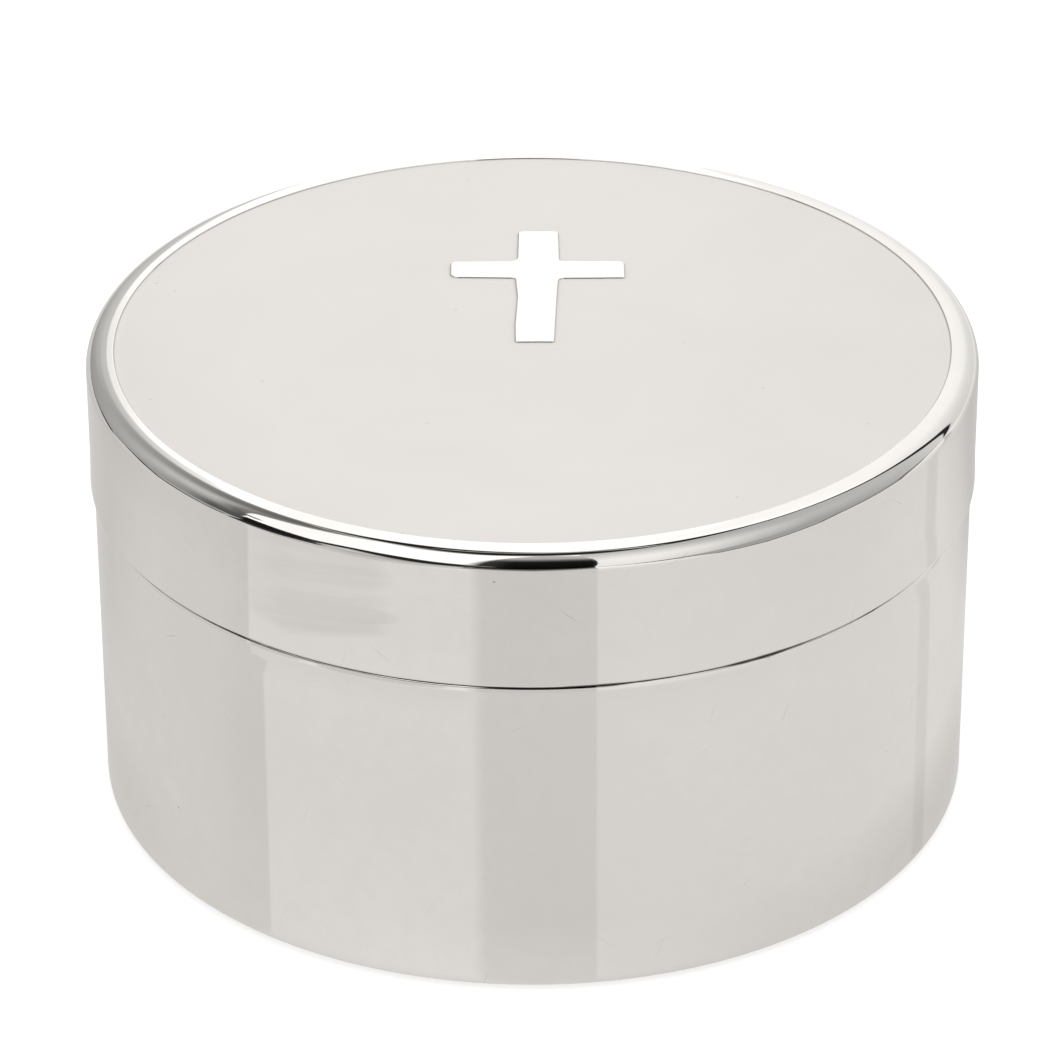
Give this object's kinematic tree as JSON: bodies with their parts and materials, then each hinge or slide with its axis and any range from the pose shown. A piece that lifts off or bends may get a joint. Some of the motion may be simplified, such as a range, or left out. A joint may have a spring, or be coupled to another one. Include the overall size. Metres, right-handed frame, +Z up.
{
  "type": "rosary box",
  "caption": "Round polished metal keepsake box with a lift-off lid that slips over a neck, an enamelled top with a plain cross, a velvet-lined inside and a felt base.",
  "frame": {"origin": "middle of the felt's underside, on the box's axis", "axes": "+Z up along the box's axis, +Y towards the head of the cross, +X to the right for someone who reads the cross upright"},
  "size_m": [0.07, 0.07, 0.0381],
  "materials": {
    "silver_plate": "polished",
    "enamel": "gloss",
    "velvet": "matt",
    "wadding": "matt",
    "felt": "matt",
    "card": "matt"
  },
  "bodies": {
    "base": {"base_cup": "silver_plate", "neck_collar": "silver_plate", "base_felt": "felt", "floor_card": "card", "floor_wadding": "wadding", "floor_velvet": "velvet", "wall_card": "card", "wall_velvet": "velvet"},
    "lid": {"lid_shell": "silver_plate", "cross": "silver_plate", "enamel": "enamel", "lid_card": "card", "lid_wadding": "wadding", "lid_velvet": "velvet"}
  },
  "joints": [
    {"name": "lid_lift", "type": "slide", "parent": "base", "child": "lid", "axis": [0, 0, 1], "range_m": [0, 0.06]}
  ]
}
